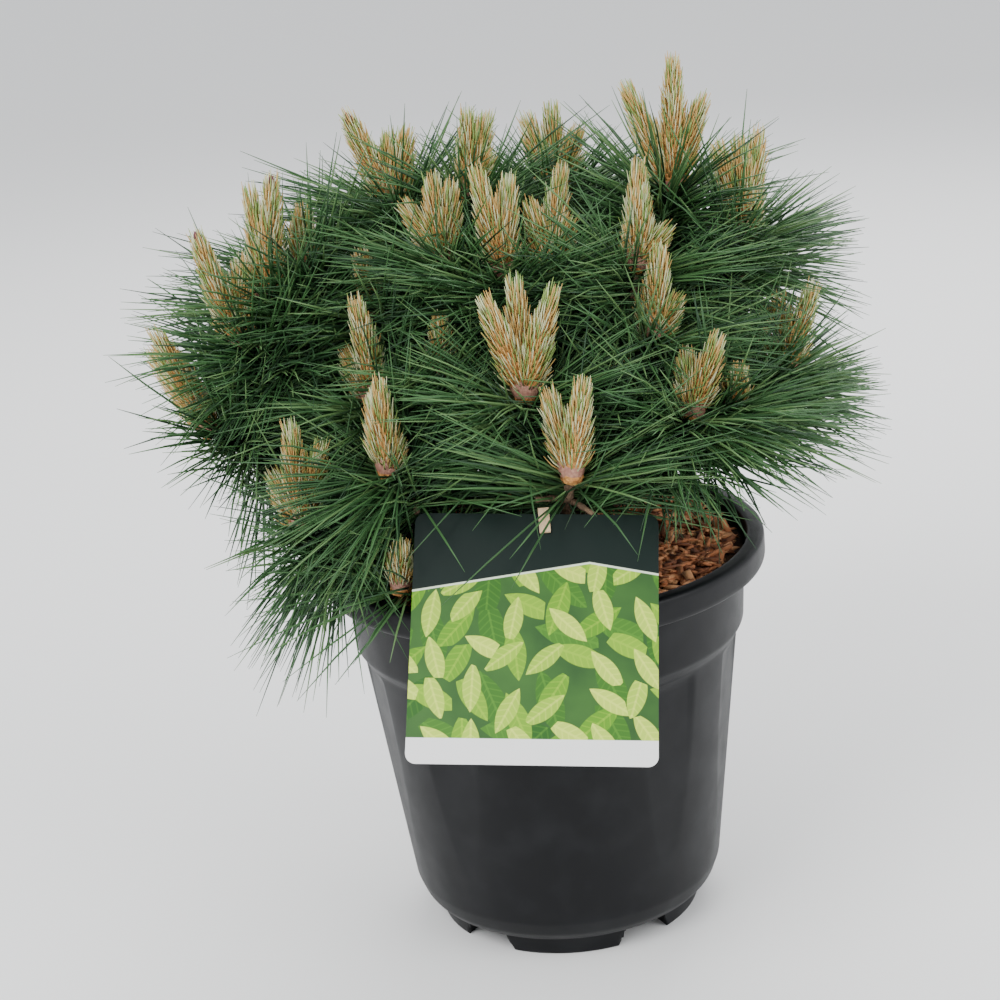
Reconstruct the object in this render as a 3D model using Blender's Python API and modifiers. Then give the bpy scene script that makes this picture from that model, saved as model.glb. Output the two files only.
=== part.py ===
"""A dwarf Austrian pine growing in a round nursery pot, with its plant card.

Metres, +Z up. The pot stands on Z = 0 with its axis on Z, and the card faces -Y.
The trunk leaves the soil and carries one bough for each mass of foliage. A mass is one
stem that forks to its whorls: at each whorl young candles stand up, and long needles
stand out of a dense core. Every mass keeps to the points nearer to its own whorls.
"""

import math
import random

import bmesh
import bpy
import numpy as np
from mathutils import Matrix, Vector

# Clearance between pieces that touch
GAP = 0.0003

# Pot
POT_HEIGHT = 0.251
RIM_RADIUS = 0.140
RIM_DEPTH = 0.0175
RIM_MOUTH = 0.129
COLLAR_RADIUS = 0.1265
COLLAR_LOW_RADIUS = 0.1245
COLLAR_BOTTOM = 0.195
BODY_TOP_RADIUS = 0.120
BODY_TOP = 0.188
BODY_LOW_RADIUS = 0.101
BODY_LOW = 0.030
EDGE_RADIUS = 0.0885
EDGE_HEIGHT = 0.0128
FOOT_RADIUS = 0.0855
FOOT_INNER = 0.066
PAD_RADIUS = 0.032
FLOOR_UNDER = 0.010
FLOOR_TOP = 0.016
WALL = 0.0043
POT_SEGMENTS = 40

FLUTES = 10
FLUTE_ANGLE = math.radians(18.0)
FLUTE_TOP = 0.186
FLUTE_BOTTOM = 0.045
FLUTE_TOP_REACH = 0.1172
FLUTE_BOTTOM_REACH = 0.1030

FOOT_GAPS = 5
FOOT_GAP_WIDTH = 0.026
FOOT_GAP_SPREAD = 1.4
FIRST_FOOT_GAP = math.radians(-90.0 + 32.0)

# Soil
SOIL_TOP = 0.242

# Trunk: height above the soil, how far its tip stands back, and its radii
TRUNK_FOOT = (0.0, 0.010)
TRUNK_TIP = (0.0, 0.052, 0.385)
TRUNK_FLARE = 0.020
TRUNK_RADIUS = 0.013
TRUNK_TIP_RADIUS = 0.006

# Boughs
BOUGH_ROOT_RADIUS = 0.0055
BOUGH_TIP_RADIUS = 0.0036
BOUGH_STEP = 0.004
BOUGH_END = 0.006
LOWEST_BOUGH = 0.262

# Foliage
AIM = Vector((0.0, 0.02, 0.20))
STEM_LENGTH = 0.045
TWIG_RADIUS = 0.0026
CORE_RADIUS = 0.017
CORE_LENGTH = 0.042
CANDLE_RADIUS = 0.0085
CANDLE_SUNK = 0.005
CANDLE_FORE_AFT = 9.0
NEEDLE_LENGTH = 0.100
NEEDLE_RADIUS = 0.0017
NEEDLE_TRIES = 26
NEEDLE_MARGIN = 0.0021
GOLDEN_ANGLE = math.pi * (3.0 - math.sqrt(5.0))

# Each mass: its whorls, as the place of the whorl and its candles.
# A candle is its lean towards +X in degrees and its length in millimetres.
MASSES = {
    "top_right": (((0.099, 0.060, 0.454), ((3, 87), (-20, 72), (21, 62), (-14, 43))),),
    "upper_right": (((0.141, 0.050, 0.423), ((-1, 63), (13, 65), (-13, 63), (21, 30))),),
    "top_back": (
        ((0.027, 0.100, 0.452), ((1, 56), (-18, 50), (24, 41), (39, 27))),
        ((-0.028, 0.070, 0.459), ((3, 54), (17, 50), (28, 28))),
    ),
    "top_front": (
        ((-0.046, 0.020, 0.430), ((-4, 53), (-32, 40), (10, 47))),
        ((-0.011, 0.000, 0.422), ((-9, 70), (8, 58))),
        ((0.018, 0.020, 0.415), ((-11, 47), (11, 67), (23, 36))),
    ),
    "top_left": (((-0.078, 0.080, 0.455), ((-20, 68), (2, 44), (16, 49))),),
    "upper_left": (
        ((-0.160, 0.030, 0.412), ((10, 82), (-3, 70))),
        ((-0.176, 0.010, 0.388), ((-13, 80), (5, 53))),
        ((-0.136, 0.050, 0.427), ((5, 36),)),
    ),
    "far_left": (((-0.201, 0.000, 0.339), ((-19, 75), (-31, 60), (-17, 35))),),
    "low_left": (((-0.143, -0.060, 0.291), ((0, 71), (6, 43), (18, 57), (-24, 36))),),
    "front_left": (
        ((-0.087, -0.080, 0.329), ((0, 57), (-8, 41), (20, 19))),
        ((-0.096, -0.030, 0.359), ((-3, 65), (-24, 31))),
    ),
    "middle_left": (
        ((-0.091, 0.020, 0.397), ((-8, 42),)),
        ((-0.052, -0.025, 0.371), ((2, 33),)),
    ),
    "front_middle": (((-0.003, -0.070, 0.365), ((-17, 67), (-1, 69), (18, 70), (16, 48))),),
    "front_low": (((0.020, -0.105, 0.325), ((10, 59), (-12, 50))),),
    "middle_right": (
        ((0.071, 0.000, 0.421), ((4, 46), (5, 61), (40, 28))),
        ((0.077, -0.030, 0.384), ((6, 56), (-14, 20), (33, 26))),
        ((0.054, -0.034, 0.349), ((7, 22),)),
    ),
    "front_right": (
        ((0.094, -0.070, 0.345), ((19, 49), (-2, 35))),
        ((0.121, -0.050, 0.343), ((9, 22),)),
    ),
    "far_right": (((0.159, 0.010, 0.341), ((18, 62), (-1, 48))),),
    "rim_left": (((-0.0855, -0.097, 0.262), ((6, 27),)),),
}

# Masses behind, in two rows that stand round the back by rule
BACK_ROWS = (
    # name, count, first and last azimuth in degrees, reach, height
    ("back_low", 5, 22.0, 158.0, 0.150, 0.325),
    ("back_high", 3, 55.0, 125.0, 0.145, 0.392),
)
BACK_CANDLES = 3
BACK_CANDLE_LENGTH = 46.0

# Card and the peg that holds it
CARD_WIDTH = 0.142
CARD_HEIGHT = 0.150
CARD_THICKNESS = 0.0008
CARD_CORNER = 0.006
CARD_LEAN = math.radians(40.0)
CARD_ROLL = math.radians(-5.5)
CARD_SIDE = -0.0084
CARD_DROP = -0.0098
PEG_X = 0.002
PEG_WIDTH = 0.0065
PEG_THICKNESS = 0.0020
PEG_FRONT = 0.012


def material(name, colour, roughness):
    """A plain finish with the given colour and roughness."""
    finish = bpy.data.materials.new(name)
    finish.use_nodes = True
    shader = finish.node_tree.nodes["Principled BSDF"]
    shader.inputs["Base Color"].default_value = (*colour, 1.0)
    shader.inputs["Roughness"].default_value = roughness
    shader.inputs["Metallic"].default_value = 0.0
    finish.diffuse_color = (*colour, 1.0)
    return finish


def add(name, mesh, finish, collection):
    """Put a mesh into a collection as a named object."""
    thing = bpy.data.objects.new(name, mesh)
    if finish is not None:
        mesh.materials.clear()
        mesh.materials.append(finish)
    collection.objects.link(thing)
    return thing


def as_cutter(thing):
    """Keep a cutting shape out of the model."""
    thing.hide_render = True
    thing.display_type = "WIRE"


def turned(name, profile, finish, collection):
    """Turn a profile of (radius, height) points about Z."""
    mesh = bpy.data.meshes.new(name)
    vertices = [(radius, 0.0, height) for radius, height in profile]
    edges = [(i, i + 1) for i in range(len(profile) - 1)]
    mesh.from_pydata(vertices, edges, [])
    thing = add(name, mesh, finish, collection)
    screw = thing.modifiers.new("turn", "SCREW")
    screw.steps = POT_SEGMENTS
    screw.render_steps = POT_SEGMENTS
    screw.use_merge_vertices = True
    screw.merge_threshold = 0.00001
    return thing


def inner_wall():
    """The pot's inside, from the floor's centre up to the mouth."""
    return [
        (0.0, FLOOR_TOP),
        (0.080, FLOOR_TOP),
        (BODY_LOW_RADIUS - WALL, BODY_LOW + 0.004),
        (BODY_TOP_RADIUS - WALL, BODY_TOP - 0.001),
        (COLLAR_LOW_RADIUS - WALL, COLLAR_BOTTOM - 0.002),
        (COLLAR_RADIUS - WALL, POT_HEIGHT - RIM_DEPTH - 0.002),
        (RIM_MOUTH - 0.0005, POT_HEIGHT - 0.013),
        (RIM_MOUTH, POT_HEIGHT - 0.0015),
    ]


def outer_wall():
    """The pot's outside, from the lip down to the middle of the underside."""
    rim_bottom = POT_HEIGHT - RIM_DEPTH
    return [
        (RIM_MOUTH + 0.0015, POT_HEIGHT),
        (RIM_RADIUS - 0.0028, POT_HEIGHT),
        (RIM_RADIUS - 0.0006, POT_HEIGHT - 0.0012),
        (RIM_RADIUS, POT_HEIGHT - 0.0034),
        (RIM_RADIUS, rim_bottom + 0.003),
        (RIM_RADIUS - 0.001, rim_bottom + 0.0005),
        (RIM_RADIUS - 0.0035, rim_bottom),
        (COLLAR_RADIUS + 0.001, rim_bottom - 0.001),
        (COLLAR_RADIUS, rim_bottom - 0.0035),
        (COLLAR_LOW_RADIUS, COLLAR_BOTTOM),
        (BODY_TOP_RADIUS, BODY_TOP),
        (BODY_LOW_RADIUS, BODY_LOW),
        (BODY_LOW_RADIUS - 0.0035, 0.0205),
        (EDGE_RADIUS + 0.005, 0.0155),
        (EDGE_RADIUS, EDGE_HEIGHT),
        (EDGE_RADIUS - 0.0017, EDGE_HEIGHT - 0.0008),
        (FOOT_RADIUS, 0.0),
        (FOOT_INNER, 0.0),
        (FOOT_INNER - 0.002, FLOOR_UNDER),
        (PAD_RADIUS + 0.002, FLOOR_UNDER),
        (PAD_RADIUS, 0.0),
        (0.0, 0.0),
    ]


def box_mesh(name, size):
    """A box of the given size about its own centre."""
    mesh = bpy.data.meshes.new(name)
    shape = bmesh.new()
    bmesh.ops.create_cube(shape, size=1.0, matrix=Matrix.Diagonal((*size, 1.0)))
    shape.to_mesh(mesh)
    shape.free()
    return mesh


def flute_cutters(collection):
    """Long boxes whose flat inner faces cut the panels, deepest under the collar."""
    thickness = 0.020
    fall = math.atan2(FLUTE_TOP_REACH - FLUTE_BOTTOM_REACH, FLUTE_TOP - FLUTE_BOTTOM)
    length = (FLUTE_TOP - FLUTE_BOTTOM) / math.cos(fall)
    width = 2.0 * BODY_TOP_RADIUS * math.sin(FLUTE_ANGLE / 2.0)
    reach = (FLUTE_TOP_REACH + FLUTE_BOTTOM_REACH) / 2.0
    for i in range(FLUTES):
        cutter = add("flute_%d" % i, box_mesh("flute", (thickness, width, length)), None, collection)
        turn = Matrix.Rotation(math.radians(-90.0) + 2.0 * math.pi * i / FLUTES, 4, "Z")
        place = Matrix.Translation((reach, 0.0, (FLUTE_TOP + FLUTE_BOTTOM) / 2.0))
        tilt = Matrix.Rotation(fall, 4, "Y")
        cutter.matrix_world = turn @ place @ tilt @ Matrix.Translation((thickness / 2.0, 0.0, 0.0))
        as_cutter(cutter)


def foot_gap_cutters(collection):
    """Blocks, wider below, that part the foot ring into feet."""
    depth = EDGE_HEIGHT + 0.005
    for i in range(FOOT_GAPS):
        mesh = box_mesh("foot_gap", (0.050, FOOT_GAP_WIDTH, depth))
        for vertex in mesh.vertices:
            if vertex.co.z < 0.0:
                vertex.co.y *= FOOT_GAP_SPREAD
        cutter = add("foot_gap_%d" % i, mesh, None, collection)
        turn = Matrix.Rotation(FIRST_FOOT_GAP + 2.0 * math.pi * i / FOOT_GAPS, 4, "Z")
        cutter.matrix_world = turn @ Matrix.Translation((0.080, 0.0, EDGE_HEIGHT - depth / 2.0))
        as_cutter(cutter)


def make_pot(finish, model, cutters):
    """The pot: rim, collar, fluted wall, floor and feet."""
    pot = turned("pot", inner_wall() + outer_wall(), finish, model)
    flute_cutters(cutters)
    foot_gap_cutters(cutters)
    cut = pot.modifiers.new("cut", "BOOLEAN")
    cut.operation = "DIFFERENCE"
    cut.operand_type = "COLLECTION"
    cut.collection = cutters
    cut.solver = "EXACT"


def make_soil(finish, model):
    """The soil that fills the pot."""
    wall = [(max(radius - GAP, 0.0), height) for radius, height in inner_wall() if height < SOIL_TOP]
    wall[0] = (0.0, FLOOR_TOP + GAP)
    wall[1] = (wall[1][0], FLOOR_TOP + GAP)
    top = [(0.0, SOIL_TOP), (RIM_MOUTH - 0.0005 - GAP, SOIL_TOP)]
    turned("soil", top + wall[::-1], finish, model)


def tube(name, points, radii, sides, finish, collection):
    """A closed round limb along points, with a radius at each."""
    curve = bpy.data.curves.new(name, "CURVE")
    curve.dimensions = "3D"
    curve.bevel_depth = 1.0
    curve.bevel_resolution = (sides - 4) // 2
    curve.use_fill_caps = True
    spline = curve.splines.new("POLY")
    spline.points.add(len(points) - 1)
    for point, place, radius in zip(spline.points, points, radii):
        point.co = (*place, 1.0)
        point.radius = radius
    guide = bpy.data.objects.new(name, curve)
    collection.objects.link(guide)
    mesh = bpy.data.meshes.new_from_object(guide.evaluated_get(bpy.context.evaluated_depsgraph_get()))
    bpy.data.objects.remove(guide)
    bpy.data.curves.remove(curve)
    shape = bmesh.new()
    shape.from_mesh(mesh)
    bmesh.ops.remove_doubles(shape, verts=shape.verts, dist=0.00001)
    shape.to_mesh(mesh)
    shape.free()
    mesh.name = name
    return add(name, mesh, finish, collection)


def bezier(start, control, end, count):
    """Points along a quadratic curve."""
    steps = [i / (count - 1) for i in range(count)]
    return [start * (1 - t) ** 2 + control * (2 * t * (1 - t)) + end * t ** 2 for t in steps]


def trunk_route():
    """The trunk's points and radii, from its flat cut at the soil to its tip."""
    foot = Vector((*TRUNK_FOOT, SOIL_TOP + GAP))
    tip = Vector(TRUNK_TIP)
    curve = bezier(foot + Vector((0.0, 0.0, 0.008)), foot + Vector((0.0, 0.004, 0.070)), tip, 7)
    points = [foot] + curve
    radii = [TRUNK_FLARE, TRUNK_RADIUS + 0.002]
    for i in range(1, 7):
        radii.append(TRUNK_RADIUS + (TRUNK_TIP_RADIUS - TRUNK_RADIUS) * i / 6)
    return points, radii


def along(points, radii, height):
    """The place and radius of the trunk at a height."""
    for a, b, r, s in zip(points, points[1:], radii, radii[1:]):
        if a.z <= height <= b.z:
            t = (height - a.z) / (b.z - a.z)
            return a.lerp(b, t), r + (s - r) * t
    return points[-1], radii[-1]


def all_masses():
    """The masses in front, and those behind worked out from their rows."""
    masses = dict(MASSES)
    for name, count, first, last, reach, height in BACK_ROWS:
        for i in range(count):
            azimuth = math.radians(first + (last - first) * i / (count - 1))
            wave = 0.012 if i % 2 else 0.0
            place = ((reach + wave) * math.cos(azimuth), (reach + wave) * math.sin(azimuth), height + wave)
            candles = tuple((-21.0 + 19.0 * k, BACK_CANDLE_LENGTH + 5.0 * k) for k in range(BACK_CANDLES))
            masses["%s_%d" % (name, i + 1)] = ((place, candles),)
    return masses


def growth(place):
    """The direction in which the twig under a whorl grows."""
    return (Vector(place) - AIM).normalized()


def stem_foot(whorls):
    """Where a mass's stem begins and which way it goes."""
    middle = sum((Vector(place) for place, candles in whorls), Vector()) / len(whorls)
    direction = sum((growth(place) for place, candles in whorls), Vector()).normalized()
    spread = max((Vector(place) - middle).length for place, candles in whorls)
    foot = middle - direction * (STEM_LENGTH + 0.8 * spread)
    foot.z = max(foot.z, SOIL_TOP + 0.014)
    return foot, (middle - foot).normalized()


def near_polyline(points, route, reach):
    """True where any of the points comes within reach of a route of points."""
    for a, b in zip(route, route[1:]):
        a = np.array(a)
        d = np.array(b) - a
        t = np.clip((points - a) @ d / (d @ d), 0.0, 1.0)
        if np.min(np.linalg.norm(points - a - t[:, None] * d, axis=1)) < reach:
            return True
    return False


def samples(start, end, count=25):
    """Points spread evenly from start to end, as an array."""
    steps = np.linspace(0.0, 1.0, count)[:, None]
    return np.array(start) * (1.0 - steps) + np.array(end) * steps


def bough_root(centre, radius, out, leave, trunk_points, trunk_radii):
    """The middle of a bough's foot, moved out until its rim just clears the trunk."""
    across = leave.cross(Vector((0.0, 0.0, 1.0))).normalized()
    beyond = leave.cross(across)
    turns = [2.0 * math.pi * i / 12 for i in range(12)]
    ring = [(across * math.cos(t) + beyond * math.sin(t)) * BOUGH_ROOT_RADIUS for t in turns]
    root = centre + out * radius
    for step in range(60):
        room = []
        for offset in ring:
            spot = root + offset
            middle, girth = along(trunk_points, trunk_radii, spot.z)
            room.append(math.hypot(spot.x - middle.x, spot.y - middle.y) - girth)
        if min(room) > 1.6 * GAP:
            break
        root = root + out * 0.0002
    return root


def passes_trunk(spots, root, trunk_points, trunk_radii):
    """True where a bough keeps off the trunk once it has left it."""
    for x, y, z in spots:
        middle, girth = along(trunk_points, trunk_radii, z)
        left = math.dist((x, y, z), root) > 1.3 * BOUGH_ROOT_RADIUS
        if left and z < TRUNK_TIP[2] + 0.01 and math.hypot(x - middle.x, y - middle.y) < girth + BOUGH_ROOT_RADIUS:
            return False
    return True


def bough_routes(masses, trunk_points, trunk_radii):
    """A route for each mass's bough, rooted on the trunk as low as it is clear."""
    routes = {}
    order = sorted(masses, key=lambda name: stem_foot(masses[name])[0].z)
    for name in order:
        if name == "top_back":
            continue
        tip, direction = stem_foot(masses[name])
        tip = tip - direction * GAP
        height = max(LOWEST_BOUGH, tip.z - 0.070)
        while True:
            centre, radius = along(trunk_points, trunk_radii, height)
            out = Vector((tip.x - centre.x, tip.y - centre.y, 0.0))
            rise = min(max((tip.z - height) / max(out.length, 0.001), 0.05), 0.45)
            leave = (out.normalized() + Vector((0.0, 0.0, rise))).normalized()
            root = bough_root(centre, radius, out.normalized(), leave, trunk_points, trunk_radii)
            reach = (tip - root).length
            control = (root + leave * 0.5 * reach + tip - direction * 0.4 * reach) / 2.0
            collar = root + leave * BOUGH_END
            route = [root] + bezier(collar, control, tip - direction * BOUGH_END, 5) + [tip]
            spots = np.vstack([samples(a, b, 8) for a, b in zip(route, route[1:])])
            clearance = 2.0 * BOUGH_ROOT_RADIUS + 0.0015
            crossed = any(near_polyline(spots, other, clearance) for other in routes.values())
            if not crossed and passes_trunk(spots, root, trunk_points, trunk_radii):
                break
            height += BOUGH_STEP
            if height > TRUNK_TIP[2] - 0.008:
                raise ValueError("no room on the trunk for the bough of " + name)
        routes[name] = route
    return routes


def bough_radii(route):
    """Radii that taper along a bough."""
    last = len(route) - 1
    return [BOUGH_ROOT_RADIUS + (BOUGH_TIP_RADIUS - BOUGH_ROOT_RADIUS) * i / last for i in range(last + 1)]


class Space:
    """The room that one mass may fill."""

    def __init__(self, name, masses, limbs, own_limbs, card):
        self.others = [np.array(p) for key, whorls in masses.items() if key != name for p, c in whorls]
        self.limbs = limbs
        self.own_limbs = own_limbs
        self.card = card

    def holds(self, points, whorl, margin):
        """True where every point is nearer to this whorl than to another mass's."""
        own = np.array(whorl)
        for other in self.others:
            span = other - own
            depth = ((points - (own + other) / 2.0) @ span) / np.linalg.norm(span)
            if np.max(depth) > -margin:
                return False
        return True

    def clear(self, points, margin, every_limb=True):
        """True where the points miss the limbs, the pot, the soil, the card and its peg."""
        limbs = self.limbs + self.own_limbs if every_limb else self.limbs
        for route, radius in limbs:
            if near_polyline(points, route, radius + margin):
                return False
        around = np.hypot(points[:, 0], points[:, 1])
        height = points[:, 2]
        in_pot = (height < POT_HEIGHT + margin + 0.002) & (around < pot_reach(height) + margin + 0.002)
        over_soil = (around < RIM_MOUTH - margin - 0.004) & (height > SOIL_TOP + margin + 0.001)
        if np.any(in_pot & ~over_soil):
            return False
        centre, right, up, normal = self.card
        offset = points - centre
        beside = np.abs(offset @ right) < CARD_WIDTH / 2.0 + margin
        level = np.abs(offset @ up) < CARD_HEIGHT / 2.0 + margin
        if np.any(beside & level & (np.abs(offset @ normal) < margin + 0.0045)):
            return False
        by_peg = (np.abs(points[:, 0] - PEG_X) < 0.008 + margin) & (height < 0.322)
        return not np.any(by_peg & (np.abs(points[:, 1] + 0.098) < 0.014))


def pot_reach(height):
    """The pot's outer radius at given heights."""
    profile = [point for point in outer_wall() if point[0] > FOOT_INNER][::-1]
    return np.interp(height, [p[1] for p in profile], [p[0] for p in profile], right=RIM_RADIUS)


def placed(mesh, start, end, finish, collection):
    """Stand a mesh that was made about its centre, along Z, from start to end."""
    thing = add(mesh.name, mesh, finish, collection)
    start = Vector(start)
    end = Vector(end)
    turn = (end - start).to_track_quat("Z", "Y").to_matrix().to_4x4()
    thing.matrix_world = Matrix.Translation((start + end) / 2.0) @ turn
    return thing


def cone_mesh(name, sides, low, high, length):
    """A straight tapering piece along Z."""
    mesh = bpy.data.meshes.new(name)
    shape = bmesh.new()
    bmesh.ops.create_cone(shape, cap_ends=True, segments=sides, radius1=low, radius2=high, depth=length)
    bmesh.ops.remove_doubles(shape, verts=shape.verts, dist=0.000001)
    shape.to_mesh(mesh)
    shape.free()
    return mesh


def spindle_mesh(name, radius, length, sides, rings):
    """A ball drawn out along Z."""
    mesh = bpy.data.meshes.new(name)
    shape = bmesh.new()
    bmesh.ops.create_uvsphere(shape, u_segments=sides, v_segments=rings, radius=1.0)
    bmesh.ops.scale(shape, vec=(radius, radius, length / 2.0), verts=shape.verts)
    shape.to_mesh(mesh)
    shape.free()
    return mesh


def candle_tip(place, lean, length, index):
    """The top of a candle that leans towards +X, and a little to the front or back."""
    aft = math.radians(CANDLE_FORE_AFT if index % 2 else -CANDLE_FORE_AFT)
    side = math.radians(lean)
    direction = Vector((math.sin(side), math.tan(aft), math.cos(side))).normalized()
    return Vector(place) + direction * length / 1000.0


def add_candles(place, candles, finish, collection):
    """Young shoots that stand up round the whorl."""
    for index, (lean, length) in enumerate(candles):
        tip = candle_tip(place, lean, length, index)
        direction = (tip - Vector(place)).normalized()
        start = Vector(place) - direction * CANDLE_SUNK
        mesh = spindle_mesh("candle", CANDLE_RADIUS, (tip - start).length, 5, 3)
        placed(mesh, start, tip, finish, collection)


def candle_limbs(masses, name):
    """The candles of every other mass, as routes with a radius."""
    others = [whorls for key, whorls in masses.items() if key != name]
    limbs = []
    for whorls in others:
        for place, candles in whorls:
            for index, (lean, length) in enumerate(candles):
                limbs.append(([Vector(place), candle_tip(place, lean, length, index)], CANDLE_RADIUS))
    return limbs


def add_core(place, space, finish, collection):
    """The dense heart of the needles, kept clear of limbs and neighbours."""
    direction = growth(place)
    top = Vector(place) + direction * 0.004
    foot = top - direction * CORE_LENGTH
    spots = samples(foot + direction * 0.004, top - direction * 0.004, 7)
    radius = CORE_RADIUS
    while radius > 0.006 and not (space.holds(spots, place, radius) and space.clear(spots, radius, False)):
        radius -= 0.001
    placed(spindle_mesh("core", radius, CORE_LENGTH, 6, 4), foot, top, finish, collection)


def add_needles(place, space, rng, finish, collection):
    """Long needles round the twig under a whorl, by the golden angle."""
    axis = growth(place)
    across = axis.orthogonal().normalized()
    beyond = axis.cross(across)
    turn = rng.uniform(0.0, 2.0 * math.pi)
    for i in range(NEEDLE_TRIES):
        share = (i + 0.5) / NEEDLE_TRIES
        angle = turn + GOLDEN_ANGLE * i
        tilt = math.radians(34.0 + 62.0 * share + rng.uniform(-6.0, 6.0))
        length = NEEDLE_LENGTH * rng.uniform(0.86, 1.06)
        root = Vector(place) - axis * (0.006 + 0.026 * share)
        out = across * math.cos(angle) + beyond * math.sin(angle)
        tip = root + (axis * math.cos(tilt) + out * math.sin(tilt)) * length
        spots = samples(root.lerp(tip, 0.12), tip)
        if space.holds(spots, place, NEEDLE_MARGIN) and space.clear(spots, NEEDLE_MARGIN):
            mesh = cone_mesh("needle", 3, NEEDLE_RADIUS, 0.0, length)
            placed(mesh, root, tip, finish, collection)


def largest_piece(mesh):
    """Drop loose scraps and sealed hollows, and keep the largest closed piece."""
    shape = bmesh.new()
    shape.from_mesh(mesh)
    bmesh.ops.remove_doubles(shape, verts=shape.verts, dist=0.000002)
    bmesh.ops.dissolve_degenerate(shape, edges=shape.edges, dist=0.000002)
    bmesh.ops.triangulate(shape, faces=shape.faces)
    seen = set()
    pieces = []
    for vertex in shape.verts:
        if vertex in seen:
            continue
        piece = {vertex}
        border = [vertex]
        while border:
            for edge in border.pop().link_edges:
                for end in edge.verts:
                    if end not in piece:
                        piece.add(end)
                        border.append(end)
        seen |= piece
        pieces.append(piece)
    keep = max(pieces, key=len)
    bmesh.ops.delete(shape, geom=[v for v in shape.verts if v not in keep], context="VERTS")
    shape.to_mesh(mesh)
    shape.free()


def make_mass(name, whorls, space, finish, model, rng):
    """Fuse a stem, its twigs, cores, candles and needles into one solid."""
    parts = bpy.data.collections.new("parts_of_" + name)
    bpy.context.scene.collection.children.link(parts)
    foot, direction = stem_foot(whorls)
    fork = foot + direction * 0.010
    stem = placed(cone_mesh("stem", 5, BOUGH_TIP_RADIUS, BOUGH_TIP_RADIUS, 0.014), foot,
                  foot + direction * 0.014, finish, model)
    for place, candles in whorls:
        twig = cone_mesh("twig", 3, TWIG_RADIUS * 1.4, TWIG_RADIUS, (Vector(place) - fork).length)
        placed(twig, fork, place, finish, parts)
        add_core(place, space, finish, parts)
        add_candles(place, candles, finish, parts)
        add_needles(place, space, rng, finish, parts)
    join = stem.modifiers.new("join", "BOOLEAN")
    join.operation = "UNION"
    join.operand_type = "COLLECTION"
    join.collection = parts
    join.solver = "EXACT"
    bpy.context.view_layer.update()
    mesh = bpy.data.meshes.new_from_object(stem.evaluated_get(bpy.context.evaluated_depsgraph_get()))
    mesh.transform(stem.matrix_world)
    largest_piece(mesh)
    bpy.data.objects.remove(stem)
    for thing in list(parts.objects):
        bpy.data.objects.remove(thing)
    bpy.data.collections.remove(parts)
    add("foliage_" + name, mesh, finish, model)


def card_frame():
    """The card's centre, its right, up and outward directions. It rests on the rim."""
    normal = Vector((0.0, -math.cos(CARD_LEAN), math.sin(CARD_LEAN)))
    level = Vector((0.0, math.sin(CARD_LEAN), math.cos(CARD_LEAN)))
    side = Vector((1.0, 0.0, 0.0))
    right = side * math.cos(CARD_ROLL) + level * math.sin(CARD_ROLL)
    up = level * math.cos(CARD_ROLL) - side * math.sin(CARD_ROLL)
    touch = max((Vector((0.0, -r, z)) for r, z in outer_wall()), key=lambda p: p.dot(normal))
    rest = touch + normal * (GAP + CARD_THICKNESS / 2.0)
    return rest + right * CARD_SIDE + up * CARD_DROP, right, up, normal


def flat_shape(name, outline, thickness, finish, model):
    """A flat plate with the given outline, in its own X and Y."""
    curve = bpy.data.curves.new(name, "CURVE")
    curve.dimensions = "2D"
    curve.fill_mode = "BOTH"
    curve.extrude = thickness / 2.0
    spline = curve.splines.new("POLY")
    spline.points.add(len(outline) - 1)
    for point, (x, y) in zip(spline.points, outline):
        point.co = (x, y, 0.0, 1.0)
    spline.use_cyclic_u = True
    guide = bpy.data.objects.new(name, curve)
    model.objects.link(guide)
    mesh = bpy.data.meshes.new_from_object(guide.evaluated_get(bpy.context.evaluated_depsgraph_get()))
    bpy.data.objects.remove(guide)
    bpy.data.curves.remove(curve)
    shape = bmesh.new()
    shape.from_mesh(mesh)
    bmesh.ops.remove_doubles(shape, verts=shape.verts, dist=0.00001)
    shape.to_mesh(mesh)
    shape.free()
    return add(name, mesh, finish, model)


def make_card(finish, model):
    """The plant card: a thin plate with rounded corners that leans on the rim."""
    outline = []
    for corner in range(4):
        sx = (1, -1, -1, 1)[corner]
        sy = (1, 1, -1, -1)[corner]
        cx = sx * (CARD_WIDTH / 2.0 - CARD_CORNER)
        cy = sy * (CARD_HEIGHT / 2.0 - CARD_CORNER)
        for step in range(5):
            angle = math.radians(90.0 * corner + 22.5 * step)
            outline.append((cx + CARD_CORNER * math.cos(angle), cy + CARD_CORNER * math.sin(angle)))
    card = flat_shape("plant_card", outline, CARD_THICKNESS, finish, model)
    centre, right, up, normal = card_frame()
    turn = Matrix((right, up, normal)).transposed().to_4x4()
    card.matrix_world = Matrix.Translation(centre) @ turn


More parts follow.
